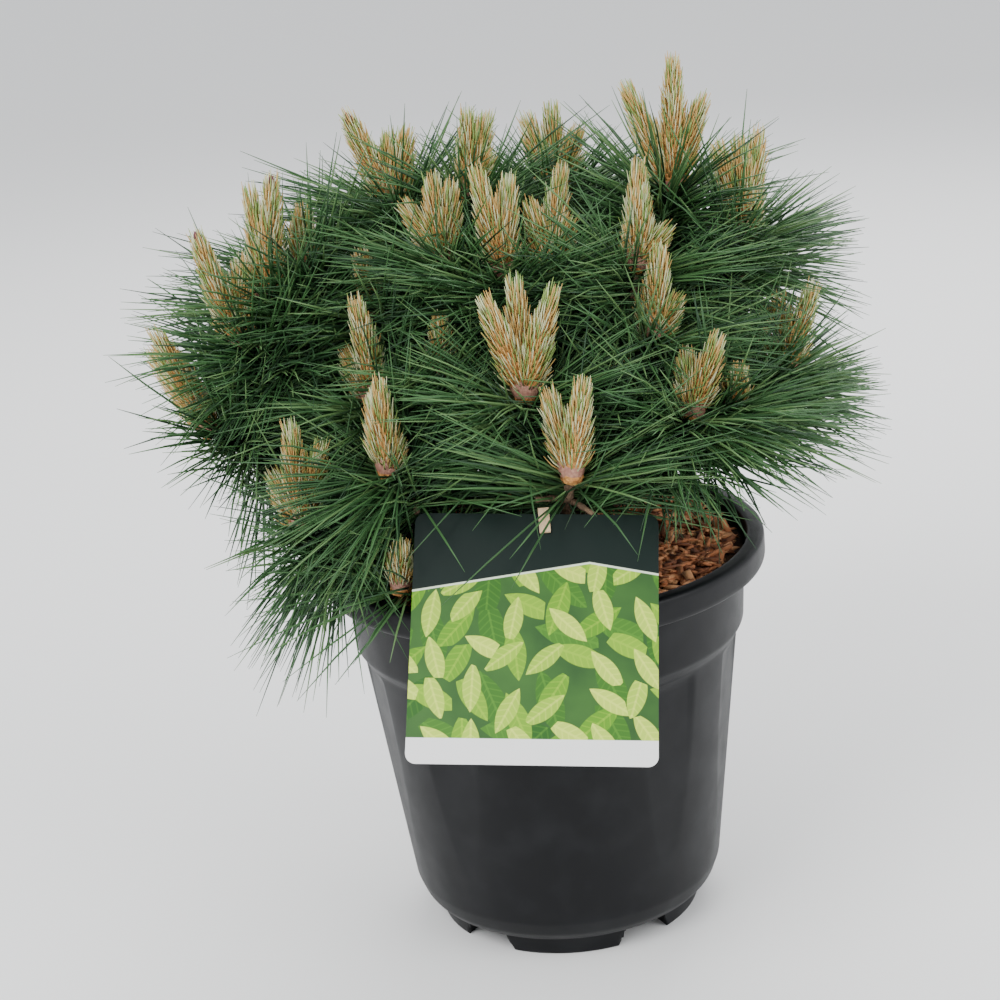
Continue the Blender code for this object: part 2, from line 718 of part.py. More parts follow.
def make_peg(finish, model):
    """A flat wooden peg that hooks over the card's top edge and stands on the soil."""
    centre, right, up, normal = card_frame()
    edge = centre + up * (CARD_HEIGHT / 2.0)
    edge = edge + right * ((PEG_X - edge.x) / right.x)
    level = Vector((0.0, math.sin(CARD_LEAN), math.cos(CARD_LEAN)))
    away = CARD_THICKNESS / 2.0 + GAP + PEG_THICKNESS / 2.0
    over = 0.0010 + PEG_THICKNESS / 2.0
    path = [
        edge + normal * away - level * PEG_FRONT,
        edge + normal * away + level * over,
        edge - normal * away + level * over,
        edge - normal * away * 1.4 - level * 0.004,
    ]
    path.append(Vector((0.0, path[-1].y, SOIL_TOP + GAP)))
    flat = [Vector((p.y, p.z)) for p in path]
    half = PEG_THICKNESS / 2.0
    left_side = []
    right_side = []
    for i, point in enumerate(flat):
        before = (point - flat[i - 1]).normalized() if i else (flat[1] - flat[0]).normalized()
        after = (flat[i + 1] - point).normalized() if i < len(flat) - 1 else before
        mean = (before + after).normalized()
        across = Vector((-mean.y, mean.x)) * (half / max(mean.dot(before), 0.3))
        left_side.append(point + across)
        right_side.append(point - across)
    outline = [tuple(p) for p in left_side + right_side[::-1]]
    peg = flat_shape("card_peg", outline, PEG_WIDTH, finish, model)
    turn = Matrix(((0.0, 0.0, 1.0), (1.0, 0.0, 0.0), (0.0, 1.0, 0.0))).to_4x4()
    peg.matrix_world = Matrix.Translation((PEG_X, 0.0, 0.0)) @ turn


def main():
    """Clear the scene and model the plant, its pot and its card."""
    for thing in list(bpy.data.objects):
        bpy.data.objects.remove(thing)
    scene = bpy.context.scene
    model = bpy.data.collections.new("potted_dwarf_pine")
    cutters = bpy.data.collections.new("cutters")
    scene.collection.children.link(model)
    scene.collection.children.link(cutters)

    black = material("pot_plastic", (0.020, 0.021, 0.024), 0.45)
    brown = material("bark_mulch", (0.32, 0.13, 0.06), 0.95)
    bark = material("bark", (0.16, 0.10, 0.07), 0.90)
    green = material("needles", (0.05, 0.14, 0.06), 0.60)
    dark = material("card_print", (0.02, 0.05, 0.04), 0.35)
    tan = material("peg_wood", (0.75, 0.58, 0.36), 0.70)

    make_pot(black, model, cutters)
    make_soil(brown, model)
    trunk_points, trunk_radii = trunk_route()
    tube("trunk", trunk_points, trunk_radii, 10, bark, model)
    masses = all_masses()
    routes = bough_routes(masses, trunk_points, trunk_radii)
    for name, route in routes.items():
        tube("bough_" + name, route, bough_radii(route), 6, bark, model)

    centre, right, up, normal = card_frame()
    card = [np.array(v) for v in (centre, right, up, normal)]
    limbs = [(trunk_points, TRUNK_RADIUS + 0.001)]
    limbs += [(route, BOUGH_ROOT_RADIUS) for route in routes.values()]
    rng = random.Random(11)
    for name, whorls in masses.items():
        bearer = routes.get(name, trunk_points)
        own = [limb for limb in limbs if limb[0] is bearer]
        others = [limb for limb in limbs if limb[0] is not bearer] + candle_limbs(masses, name)
        make_mass(name, whorls, Space(name, masses, others, own, card), green, model, rng)
    make_card(dark, model)
    make_peg(tan, model)


main()
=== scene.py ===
"""Looks of a dwarf Austrian pine in its nursery pot, laid out as a Blender add-on and run as a script.

Metres, +Z up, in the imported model's frame. Needles, twigs and candles grow from the same
whorls as the solids do, by the same rule, only finer.
"""

import math

import bmesh
import bpy
import numpy as np
from bpy.props import FloatProperty, FloatVectorProperty, IntProperty, PointerProperty
from bpy.types import Operator, Panel, PropertyGroup
from mathutils import Matrix, Vector


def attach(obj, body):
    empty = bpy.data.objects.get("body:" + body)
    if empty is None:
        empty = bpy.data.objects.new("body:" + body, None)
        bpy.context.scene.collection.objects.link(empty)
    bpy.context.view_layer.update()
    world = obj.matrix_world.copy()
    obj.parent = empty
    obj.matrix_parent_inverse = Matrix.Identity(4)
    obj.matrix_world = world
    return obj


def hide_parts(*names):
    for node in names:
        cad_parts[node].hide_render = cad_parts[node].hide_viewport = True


bl_info = {
    "name": "Potted dwarf pine",
    "version": (1, 0, 0),
    "blender": (4, 5, 0),
    "location": "3D View > Sidebar > Pine",
    "description": "Builds the needles, candles, limbs, pot, soil and card of a potted dwarf pine",
    "category": "Add Mesh",
}

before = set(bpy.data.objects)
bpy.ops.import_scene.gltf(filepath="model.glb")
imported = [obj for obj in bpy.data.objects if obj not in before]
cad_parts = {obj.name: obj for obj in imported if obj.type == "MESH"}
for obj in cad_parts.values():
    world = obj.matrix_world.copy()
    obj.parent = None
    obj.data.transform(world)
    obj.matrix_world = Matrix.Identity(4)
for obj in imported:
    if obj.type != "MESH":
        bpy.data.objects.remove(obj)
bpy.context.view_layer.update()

# Sizes and places shared with the solids
GAP = 0.0003
POT_HEIGHT = 0.251
RIM_RADIUS = 0.140
RIM_DEPTH = 0.0175
RIM_MOUTH = 0.129
COLLAR_RADIUS = 0.1265
COLLAR_LOW_RADIUS = 0.1245
COLLAR_BOTTOM = 0.195
BODY_TOP_RADIUS = 0.120
BODY_TOP = 0.188
BODY_LOW_RADIUS = 0.101
BODY_LOW = 0.030
EDGE_RADIUS = 0.0885
EDGE_HEIGHT = 0.0128
FOOT_RADIUS = 0.0855
FOOT_INNER = 0.066
PAD_RADIUS = 0.032
FLOOR_UNDER = 0.010
FLOOR_TOP = 0.016
WALL = 0.0043
FLUTES = 10
FLUTE_ANGLE = math.radians(18.0)
FLUTE_TOP = 0.186
FLUTE_BOTTOM = 0.045
FLUTE_TOP_REACH = 0.1172
FLUTE_BOTTOM_REACH = 0.1030
FOOT_GAPS = 5
FOOT_GAP_WIDTH = 0.026
FOOT_GAP_SPREAD = 1.4
FIRST_FOOT_GAP = math.radians(-90.0 + 32.0)
SOIL_TOP = 0.242
TRUNK_FOOT = (0.0, 0.010)
TRUNK_TIP = (0.0, 0.052, 0.385)
AIM = Vector((0.0, 0.02, 0.20))
STEM_LENGTH = 0.045
CANDLE_FORE_AFT = 9.0
NEEDLE_LENGTH = 0.100
GOLDEN_ANGLE = math.pi * (3.0 - math.sqrt(5.0))
MASSES = {
    "top_right": (((0.099, 0.060, 0.454), ((3, 87), (-20, 72), (21, 62), (-14, 43))),),
    "upper_right": (((0.141, 0.050, 0.423), ((-1, 63), (13, 65), (-13, 63), (21, 30))),),
    "top_back": (
        ((0.027, 0.100, 0.452), ((1, 56), (-18, 50), (24, 41), (39, 27))),
        ((-0.028, 0.070, 0.459), ((3, 54), (17, 50), (28, 28))),
    ),
    "top_front": (
        ((-0.046, 0.020, 0.430), ((-4, 53), (-32, 40), (10, 47))),
        ((-0.011, 0.000, 0.422), ((-9, 70), (8, 58))),
        ((0.018, 0.020, 0.415), ((-11, 47), (11, 67), (23, 36))),
    ),
    "top_left": (((-0.078, 0.080, 0.455), ((-20, 68), (2, 44), (16, 49))),),
    "upper_left": (
        ((-0.160, 0.030, 0.412), ((10, 82), (-3, 70))),
        ((-0.176, 0.010, 0.388), ((-13, 80), (5, 53))),
        ((-0.136, 0.050, 0.427), ((5, 36),)),
    ),
    "far_left": (((-0.201, 0.000, 0.339), ((-19, 75), (-31, 60), (-17, 35))),),
    "low_left": (((-0.143, -0.060, 0.291), ((0, 71), (6, 43), (18, 57), (-24, 36))),),
    "front_left": (
        ((-0.087, -0.080, 0.329), ((0, 57), (-8, 41), (20, 19))),
        ((-0.096, -0.030, 0.359), ((-3, 65), (-24, 31))),
    ),
    "middle_left": (
        ((-0.091, 0.020, 0.397), ((-8, 42),)),
        ((-0.052, -0.025, 0.371), ((2, 33),)),
    ),
    "front_middle": (((-0.003, -0.070, 0.365), ((-17, 67), (-1, 69), (18, 70), (16, 48))),),
    "front_low": (((0.020, -0.105, 0.325), ((10, 59), (-12, 50))),),
    "middle_right": (
        ((0.071, 0.000, 0.421), ((4, 46), (5, 61), (40, 28))),
        ((0.077, -0.030, 0.384), ((6, 56), (-14, 20), (33, 26))),
        ((0.054, -0.034, 0.349), ((7, 22),)),
    ),
    "front_right": (
        ((0.094, -0.070, 0.345), ((19, 49), (-2, 35))),
        ((0.121, -0.050, 0.343), ((9, 22),)),
    ),
    "far_right": (((0.159, 0.010, 0.341), ((18, 62), (-1, 48))),),
    "rim_left": (((-0.0855, -0.097, 0.262), ((6, 27),)),),
}
BACK_ROWS = (
    # name, count, first and last azimuth in degrees, reach, height
    ("back_low", 5, 22.0, 158.0, 0.150, 0.325),
    ("back_high", 3, 55.0, 125.0, 0.145, 0.392),
)
BACK_CANDLES = 3
BACK_CANDLE_LENGTH = 46.0
CARD_WIDTH = 0.142
CARD_HEIGHT = 0.150
CARD_THICKNESS = 0.0008
CARD_CORNER = 0.006
CARD_LEAN = math.radians(40.0)
CARD_ROLL = math.radians(-5.5)
CARD_SIDE = -0.0084
CARD_DROP = -0.0098

# Camera: its place, and its right, up and backward directions
CAMERA_PLACE = (0.0, -1.2699, 0.7093)
CAMERA_AXES = ((0.9965, -0.0089, -0.08306), (0.08149, 0.32199, 0.94323), (0.01835, -0.9467, 0.32159))
CAMERA_LENS = 76.56

# Crown: side shoots round each stem, how far needles reach to each side, and candles with a bud tip
SIDE_SHOOTS = 3
LEFT_REACH = -0.250
RIGHT_REACH = 0.212
HIGHEST_WAY = 0.30
CANDLE_ROOM = 0.0105
CROWN_TOP = 0.532
BARK_RELIEF = 0.0006
BUDS = (("top_left", 0), ("upper_left", 0), ("front_left", 2))


def inner_wall():
    """The pot's inside, from the floor's centre up to the mouth."""
    return [
        (0.0, FLOOR_TOP),
        (0.080, FLOOR_TOP),
        (BODY_LOW_RADIUS - WALL, BODY_LOW + 0.004),
        (BODY_TOP_RADIUS - WALL, BODY_TOP - 0.001),
        (COLLAR_LOW_RADIUS - WALL, COLLAR_BOTTOM - 0.002),
        (COLLAR_RADIUS - WALL, POT_HEIGHT - RIM_DEPTH - 0.002),
        (RIM_MOUTH - 0.0005, POT_HEIGHT - 0.013),
        (RIM_MOUTH, POT_HEIGHT - 0.0015),
    ]


def outer_wall():
    """The pot's outside, from the lip down to the middle of the underside."""
    rim_bottom = POT_HEIGHT - RIM_DEPTH
    return [
        (RIM_MOUTH + 0.0015, POT_HEIGHT),
        (RIM_RADIUS - 0.0028, POT_HEIGHT),
        (RIM_RADIUS - 0.0006, POT_HEIGHT - 0.0012),
        (RIM_RADIUS, POT_HEIGHT - 0.0034),
        (RIM_RADIUS, rim_bottom + 0.003),
        (RIM_RADIUS - 0.001, rim_bottom + 0.0005),
        (RIM_RADIUS - 0.0035, rim_bottom),
        (COLLAR_RADIUS + 0.001, rim_bottom - 0.001),
        (COLLAR_RADIUS, rim_bottom - 0.0035),
        (COLLAR_LOW_RADIUS, COLLAR_BOTTOM),
        (BODY_TOP_RADIUS, BODY_TOP),
        (BODY_LOW_RADIUS, BODY_LOW),
        (BODY_LOW_RADIUS - 0.0035, 0.0205),
        (EDGE_RADIUS + 0.005, 0.0155),
        (EDGE_RADIUS, EDGE_HEIGHT),
        (EDGE_RADIUS - 0.0017, EDGE_HEIGHT - 0.0008),
        (FOOT_RADIUS, 0.0),
        (FOOT_INNER, 0.0),
        (FOOT_INNER - 0.002, FLOOR_UNDER),
        (PAD_RADIUS + 0.002, FLOOR_UNDER),
        (PAD_RADIUS, 0.0),
        (0.0, 0.0),
    ]


def pot_reach(height):
    """The pot's outer radius at given heights."""
    profile = [point for point in outer_wall() if point[0] > FOOT_INNER][::-1]
    return np.interp(height, [p[1] for p in profile], [p[0] for p in profile], right=RIM_RADIUS)


def all_masses():
    """The masses in front, and those behind worked out from their rows."""
    masses = dict(MASSES)
    for name, count, first, last, reach, height in BACK_ROWS:
        for i in range(count):
            azimuth = math.radians(first + (last - first) * i / (count - 1))
            wave = 0.012 if i % 2 else 0.0
            place = ((reach + wave) * math.cos(azimuth), (reach + wave) * math.sin(azimuth), height + wave)
            candles = tuple((-21.0 + 19.0 * k, BACK_CANDLE_LENGTH + 5.0 * k) for k in range(BACK_CANDLES))
            masses["%s_%d" % (name, i + 1)] = ((place, candles),)
    return masses


def growth(place):
    """The direction in which the twig under a whorl grows."""
    return (Vector(place) - AIM).normalized()


def stem_foot(whorls):
    """Where a mass's stem begins and which way it goes."""
    middle = sum((Vector(place) for place, candles in whorls), Vector()) / len(whorls)
    direction = sum((growth(place) for place, candles in whorls), Vector()).normalized()
    spread = max((Vector(place) - middle).length for place, candles in whorls)
    foot = middle - direction * (STEM_LENGTH + 0.8 * spread)
    foot.z = max(foot.z, SOIL_TOP + 0.014)
    return foot, (middle - foot).normalized()


def candle_tip(place, lean, length, index):
    """The top of a candle that leans towards +X, and a little to the front or back."""
    aft = math.radians(CANDLE_FORE_AFT if index % 2 else -CANDLE_FORE_AFT)
    side = math.radians(lean)
    direction = Vector((math.sin(side), math.tan(aft), math.cos(side))).normalized()
    return Vector(place) + direction * length / 1000.0


def card_frame():
    """The card's centre, its right, up and outward directions. It rests on the rim."""
    normal = Vector((0.0, -math.cos(CARD_LEAN), math.sin(CARD_LEAN)))
    level = Vector((0.0, math.sin(CARD_LEAN), math.cos(CARD_LEAN)))
    side = Vector((1.0, 0.0, 0.0))
    right = side * math.cos(CARD_ROLL) + level * math.sin(CARD_ROLL)
    up = level * math.cos(CARD_ROLL) - side * math.sin(CARD_ROLL)
    touch = max((Vector((0.0, -r, z)) for r, z in outer_wall()), key=lambda p: p.dot(normal))
    rest = touch + normal * (GAP + CARD_THICKNESS / 2.0)
    return rest + right * CARD_SIDE + up * CARD_DROP, right, up, normal


class Value:
    """A number socket that takes part in Python expressions. Each operation adds a Math node."""

    def __init__(self, finish, socket):
        self.finish = finish
        self.socket = socket

    def math(self, operation, *others, clamp=False):
        """A Math node on this value and others."""
        node = self.finish.tree.nodes.new("ShaderNodeMath")
        node.operation = operation
        node.use_clamp = clamp
        for socket, value in zip(node.inputs, (self, *others)):
            self.finish.put(socket, value)
        return Value(self.finish, node.outputs[0])

    def __add__(self, other):
        return self.math("ADD", other)

    __radd__ = __add__

    def __mul__(self, other):
        return self.math("MULTIPLY", other)

    __rmul__ = __mul__

    def __sub__(self, other):
        return self.math("SUBTRACT", other)

    def __rsub__(self, other):
        return self * -1.0 + other

    def over(self, limit, soft):
        """0 below a limit and 1 above it, with a soft step."""
        return ((self - limit) * (1.0 / soft)).math("ADD", 0.5, clamp=True)


class Finish:
    """A Principled material, and one method that adds any other node."""

    def __init__(self, name, colour, roughness, **constants):
        self.material = bpy.data.materials.new(name)
        self.material.use_nodes = True
        self.tree = self.material.node_tree
        self.shader = self.tree.nodes["Principled BSDF"]
        self.put(self.shader.inputs["Base Color"], (*colour, 1.0))
        self.put(self.shader.inputs["Roughness"], roughness)
        for key, value in constants.items():
            self.put(self.shader.inputs[key.replace("_", " ")], value)
        self.place = self.node("ShaderNodeTexCoord").outputs["Object"]

    def put(self, socket, value):
        """Link a value or socket, or set a constant."""
        if isinstance(value, Value):
            value = value.socket
        if isinstance(value, bpy.types.NodeSocket):
            self.tree.links.new(value, socket)
        else:
            socket.default_value = value

    def node(self, kind, settings=(), sockets=()):
        """A node of a kind, its settings first and then its sockets."""
        node = self.tree.nodes.new(kind)
        for key, value in dict(settings).items():
            setattr(node, key, value)
        for key, value in dict(sockets).items():
            self.put(node.inputs[key], value)
        return node

    def noise(self, scale, detail=3.0, place=None):
        """A noise value from 0 to 1, with a scale in cycles per metre."""
        sockets = {"Vector": place or self.place, "Scale": scale, "Detail": detail}
        return Value(self, self.node("ShaderNodeTexNoise", (), sockets).outputs["Fac"])

    def cells(self, scale, output="Distance", place=None):
        """A Voronoi value, with a scale in cells per metre."""
        sockets = {"Vector": place or self.place, "Scale": scale}
        return Value(self, self.node("ShaderNodeTexVoronoi", (), sockets).outputs[output])

    def mix(self, share, low, high):
        """A colour between two colours or colour sockets."""
        node = self.node("ShaderNodeMix", {"data_type": "RGBA"})
        self.put(node.inputs[0], share)
        for socket, value in zip((node.inputs[6], node.inputs[7]), (low, high)):
            self.put(socket, (*value, 1.0) if isinstance(value, tuple) else value)
        return node.outputs[2]

    def vary(self, socket, value):
        """Drive one of the shader's sockets."""
        self.put(self.shader.inputs[socket], value)

    def bump(self, height, distance, strength=1.0):
        """Relief from a height value."""
        sockets = {"Height": height, "Distance": distance, "Strength": strength}
        self.vary("Normal", self.node("ShaderNodeBump", (), sockets).outputs[0])


def piece(name, points, triangles, finish, slot, nodes=(), weld=False):
    """A mesh from an array of points and an array of triangles, riding on the body.

    With weld, points closer than a hundredth of a millimetre are merged and normals recalculated.
    """
    mesh = bpy.data.meshes.new(name)
    corners = np.ascontiguousarray(triangles, dtype=np.int32).ravel()
    mesh.vertices.add(len(points))
    mesh.vertices.foreach_set("co", np.asarray(points, dtype=np.float32).ravel())
    mesh.loops.add(len(corners))
    mesh.loops.foreach_set("vertex_index", corners)
    mesh.polygons.add(len(corners) // 3)
    mesh.polygons.foreach_set("loop_start", np.arange(0, len(corners), 3, dtype=np.int32))
    mesh.update(calc_edges=True)
    if weld:
        shape = bmesh.new()
        shape.from_mesh(mesh)
        bmesh.ops.remove_doubles(shape, verts=shape.verts, dist=0.00001)
        bmesh.ops.recalc_face_normals(shape, faces=shape.faces)
        shape.to_mesh(mesh)
        shape.free()
    mesh.shade_smooth()
    mesh.materials.append(finish.material)
    thing = bpy.data.objects.new(name, mesh)
    bpy.context.scene.collection.objects.link(thing)
    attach(thing, "root")
    if nodes:
        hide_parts(*nodes)
    return thing


def unit(vectors):
    """Vectors divided by their lengths."""
    return vectors / np.maximum(np.linalg.norm(vectors, axis=-1, keepdims=True), 1e-12)


def tubes(paths, radii, sides):
    """Closed limbs along many paths at once, as points and triangles.

    A ring's point is the path's point + radius * (cos(a) * n + sin(a) * (t x n)), where t is the
    path's direction there and n stands square to it. Fans close both ends.
    """
    count, rings = paths.shape[:2]
    along = unit(np.gradient(paths, axis=1))
    whole = unit(paths[:, -1] - paths[:, 0])
    aside = np.where(np.abs(whole[:, 2:]) < 0.9, np.array([[0.0, 0.0, 1.0]]), np.array([[1.0, 0.0, 0.0]]))
    normal = unit(np.cross(along, aside[:, None]))
    other = np.cross(along, normal)
    turn = 2.0 * np.pi * np.arange(sides) / sides
    ring = normal[:, :, None] * np.cos(turn)[:, None] + other[:, :, None] * np.sin(turn)[:, None]
    points = paths[:, :, None] + ring * radii[:, :, None, None]
    i, j = np.meshgrid(np.arange(rings - 1), np.arange(sides), indexing="ij")
    k = (j + 1) % sides
    a, b, c, d = i * sides + j, i * sides + k, (i + 1) * sides + k, (i + 1) * sides + j
    walls = np.concatenate([np.stack([a, b, c], -1).reshape(-1, 3), np.stack([a, c, d], -1).reshape(-1, 3)])
    fan = np.arange(1, sides - 1)
    start = np.stack([0 * fan, fan + 1, fan], -1)
    end = np.stack([0 * fan, fan, fan + 1], -1) + (rings - 1) * sides
    one = np.concatenate([walls, start, end])
    every = one[None] + (np.arange(count) * rings * sides)[:, None, None]
    return points.reshape(-1, 3), every.reshape(-1, 3)


def turned(profile, segments):
    """A profile of (radius, height) turned about Z, as a grid of points and its triangles.

    A point is (radius * cos(a), radius * sin(a), height), with a going once round.
    """
    turn = 2.0 * np.pi * np.arange(segments) / segments
    radius, height = profile[:, :1], profile[:, 1:]
    points = np.stack([radius * np.cos(turn), radius * np.sin(turn), height + 0.0 * turn], -1)
    i, j = np.meshgrid(np.arange(len(profile) - 1), np.arange(segments), indexing="ij")
    k = (j + 1) % segments
    a, b, c, d = i * segments + j, i * segments + k, (i + 1) * segments + k, (i + 1) * segments + j
    walls = np.concatenate([np.stack([a, b, c], -1).reshape(-1, 3), np.stack([a, c, d], -1).reshape(-1, 3)])
    return points, walls


def eased(profile, reach, step):
    """A profile with its corners rounded and its long stretches divided.

    Each corner becomes a quadratic curve between the points one reach before and after it.
    """
    corners = np.array(profile)
    line = [corners[0]]
    for before, corner, after in zip(corners, corners[1:], corners[2:]):
        near = corner + (before - corner) * min(reach / np.linalg.norm(before - corner), 0.45)
        far = corner + (after - corner) * min(reach / np.linalg.norm(after - corner), 0.45)
        for t in np.linspace(0.0, 1.0, 4):
            line.append(near * (1 - t) ** 2 + corner * 2 * t * (1 - t) + far * t ** 2)
    line.append(corners[-1])
    dense = []
    for a, b in zip(line, line[1:]):
        parts = max(int(np.linalg.norm(b - a) / step), 1)
        dense += [a + (b - a) * n / parts for n in range(parts)]
    return np.array(dense + [line[-1]])


def smooth_step(value):
    """0 up to 0, 1 from 1, and 3v^2 - 2v^3 between."""
    v = np.clip(value, 0.0, 1.0)
    return v * v * (3.0 - 2.0 * v)


def sector(angle, first, count):
    """The angle to the nearest of some evenly spread directions."""
    span = 2.0 * np.pi / count
    return (angle - first + span / 2.0) % span - span / 2.0


def make_pot(look):
    """The pot: its turned profile, with flat flutes cut in and gaps raised in the foot ring.

    In a flute the radius is at most reach(z) / cos(angle to its centre), eased over its edges.
    In a foot gap no point lies below the edge height.
    """
    points, triangles = turned(eased(inner_wall() + outer_wall(), 0.0016, 0.0035), look.pot_segments)
    x, y, z = points[..., 0], points[..., 1], points[..., 2]
    radius = np.hypot(x, y)
    angle = np.arctan2(y, x)
    near = np.abs(sector(angle, math.radians(-90.0), FLUTES))
    rise = (z - FLUTE_BOTTOM) / (FLUTE_TOP - FLUTE_BOTTOM)
    reach = (FLUTE_BOTTOM_REACH + (FLUTE_TOP_REACH - FLUTE_BOTTOM_REACH) * rise) / np.cos(near)
    share = smooth_step((FLUTE_ANGLE / 2.0 - near) / math.radians(1.3) + 0.5)
    share = share * smooth_step((FLUTE_TOP - z) / 0.003) * smooth_step((z - FLUTE_BOTTOM) / 0.004)
    outside = radius > BODY_LOW_RADIUS - 0.002
    outside[:len(eased(inner_wall(), 0.0016, 0.0035)) + 2] = False
    cut = np.where(outside, np.maximum(radius - reach, 0.0) * share, 0.0)
    scale = 1.0 - cut / np.maximum(radius, 1e-6)
    x, y = x * scale, y * scale
    beside = np.abs(radius * np.sin(sector(angle, FIRST_FOOT_GAP, FOOT_GAPS)))
    half = FOOT_GAP_WIDTH / 2.0 * (1.0 + (FOOT_GAP_SPREAD - 1.0) * np.clip(1.0 - z / EDGE_HEIGHT, 0.0, 1.0))
    gap = (radius > FOOT_INNER - 0.008) & (z < EDGE_HEIGHT)
    raised = smooth_step((half - beside) / 0.0012 + 0.5)
    z = np.where(gap, z + (EDGE_HEIGHT - z) * raised, z)
    finish = Finish("pot_plastic", look.pot_colour, 0.42, Specular_IOR_Level=0.20)
    dust = finish.noise(38.0, 5.0).over(0.60, 0.30)
    finish.vary("Base Color", finish.mix(dust * 0.35, tuple(look.pot_colour), (0.016, 0.017, 0.019)))
    finish.vary("Roughness", finish.noise(60.0, 4.0) * 0.18 + 0.34)
    finish.bump(finish.noise(2600.0, 2.0), 0.00006)
    points = np.stack([x, y, z], -1).reshape(-1, 3)
    piece("pot_shell", points, triangles, finish, "pot", ["pot"], weld=True)


def make_soil(look):
    """The soil: a bed whose top waves by sines, and bark chips scattered on it.

    A chip is a box of its own length, width and thickness with shaken corners, tilted and turned.
    """
    rng = np.random.default_rng(21)
    below = [(r - GAP, h + GAP) for r, h in inner_wall()[1:] if h < SOIL_TOP - 0.006]
    wall = [(0.0, FLOOR_TOP + GAP)] + below
    edge = RIM_MOUTH - 0.002
    top = [(edge, SOIL_TOP - 0.004), (edge - 0.002, SOIL_TOP - 0.0025), (0.0, SOIL_TOP - 0.001)]
    profile = eased(wall + top, 0.001, 0.004)
    points, triangles = turned(profile, 96)
    top = points[..., 2] > SOIL_TOP - 0.0045
    x, y = points[..., 0], points[..., 1]
    wave = np.sin(x * 310.0 + 2.0 * np.sin(y * 190.0)) * np.cos(y * 270.0)
    points[..., 2] += np.where(top & (np.hypot(x, y) > 1e-6), wave * 0.0012, 0.0)
    bed = Finish("soil_bed", (0.060, 0.028, 0.015), 0.95)
    bed.vary("Base Color", bed.mix(bed.noise(420.0, 4.0), (0.020, 0.010, 0.006), (0.13, 0.058, 0.028)))
    bed.bump(bed.noise(700.0, 4.0), 0.0010)
    piece("soil_bed", points.reshape(-1, 3), triangles, bed, "soil", ["soil"], weld=True)
    box = np.array([(sx, sy, sz) for sx in (-1, 1) for sy in (-1, 1) for sz in (-1, 1)]) * 0.5
    sides = np.array([(0, 1, 3), (0, 3, 2), (4, 6, 7), (4, 7, 5), (0, 4, 5), (0, 5, 1),
                      (2, 3, 7), (2, 7, 6), (0, 2, 6), (0, 6, 4), (1, 5, 7), (1, 7, 3)])
    tones = ((0.24, 0.085, 0.036), (0.52, 0.195, 0.080), (0.70, 0.330, 0.150))
    for index, (tone, share) in enumerate(zip(tones, (0.35, 0.42, 0.23))):
        count = int(look.chips * share)
        size = rng.uniform((0.005, 0.0018, 0.0008), (0.018, 0.0055, 0.0022), (count, 3))
        corners = box * size[:, None] * rng.uniform(0.6, 1.25, (count, 8, 3))
        yaw, tilt = rng.uniform(0.0, 2.0 * np.pi, count), rng.normal(0.0, 0.28, count)
        c, s, ct, st = np.cos(yaw), np.sin(yaw), np.cos(tilt), np.sin(tilt)
        o = np.zeros(count)
        turn = np.stack([c * ct, -s, c * st, s * ct, c, s * st, -st, o, ct], -1).reshape(-1, 3, 3)
        far = 0.118 * np.sqrt(rng.uniform(0.0, 1.0, count))
        where = rng.uniform(0.0, 2.0 * np.pi, count)
        height = SOIL_TOP + rng.uniform(-0.001, 0.0022, count)
        centre = np.stack([far * np.cos(where), far * np.sin(where), height], -1)
        clear = np.hypot(centre[:, 0] - TRUNK_FOOT[0], centre[:, 1] - TRUNK_FOOT[1]) > 0.027
        chips = (np.einsum("nij,nkj->nki", turn, corners) + centre[:, None])[clear]
        every = sides[None] + 8 * np.arange(len(chips))[:, None, None]
        bark = Finish("bark_chip_%d" % index, tone, 0.9)
        dull, bright = (tuple(v * part for v in tone) for part in (0.62, 1.2))
        bark.vary("Base Color", bark.mix(bark.noise(500.0, 3.0), dull, bright))
        bark.bump(bark.noise(1500.0, 3.0), 0.0004)
        piece("soil_chips_%d" % index, chips.reshape(-1, 3), every.reshape(-1, 3), bark, "soil")


def bark_finish(name, low, high):
    """Rough bark: two browns by noise, and scaly relief."""
    bark = Finish(name, high, 0.9)
    bark.vary("Base Color", bark.mix(bark.noise(260.0, 5.0), low, high))
    bark.bump(bark.cells(340.0) + bark.noise(900.0, 3.0) * 0.4, 0.0011)
    return bark


